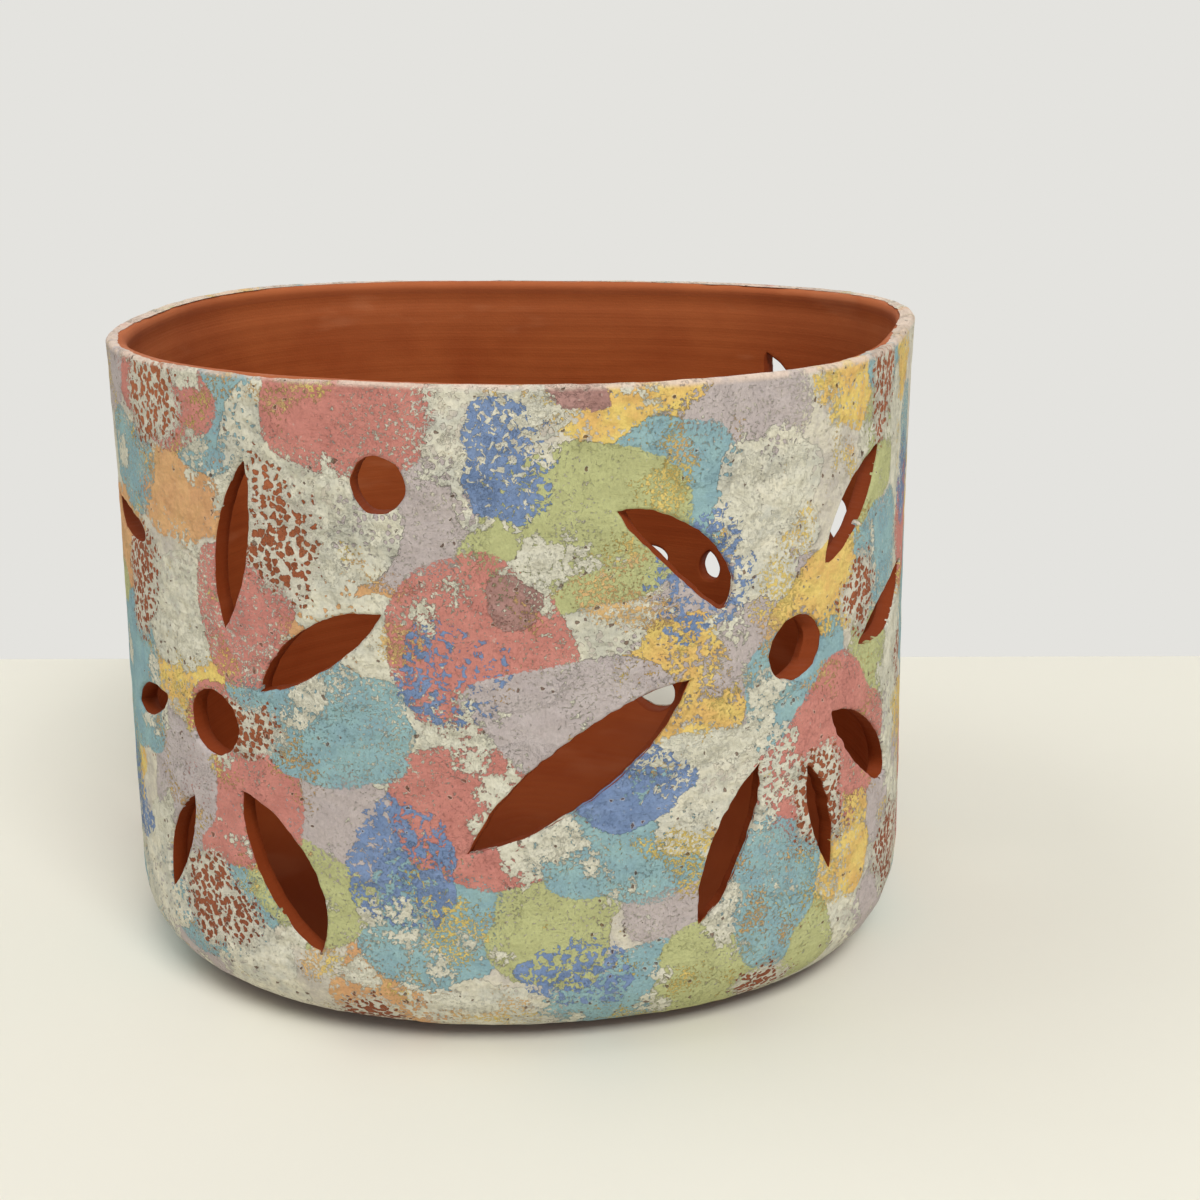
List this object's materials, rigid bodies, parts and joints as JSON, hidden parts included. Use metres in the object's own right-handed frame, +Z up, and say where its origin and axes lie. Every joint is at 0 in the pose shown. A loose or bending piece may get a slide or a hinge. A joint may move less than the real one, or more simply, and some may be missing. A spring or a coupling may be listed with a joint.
{
  "type": "pierced terracotta orchid pot",
  "caption": "Free-standing thrown clay orchid pot with a squared plan, hand-cut petal openings in the wall, drain holes, a turned foot and a coloured slip coat.",
  "frame": {"origin": "middle of the footprint's bounding box, on the surface that the pot stands on", "axes": "+Z up out of the pot's mouth; -Y is the front in the picture, with a flower of cut-outs to the left and right of it"},
  "size_m": [0.1712, 0.176, 0.1275],
  "materials": {
    "clay": "matt fired terracotta",
    "slip": "matt coloured slip"
  },
  "bodies": {
    "root": {"wall": "clay", "slip_coat": "slip", "rim": "clay", "floor": "clay", "foot_ring": "clay"}
  },
  "joints": []
}
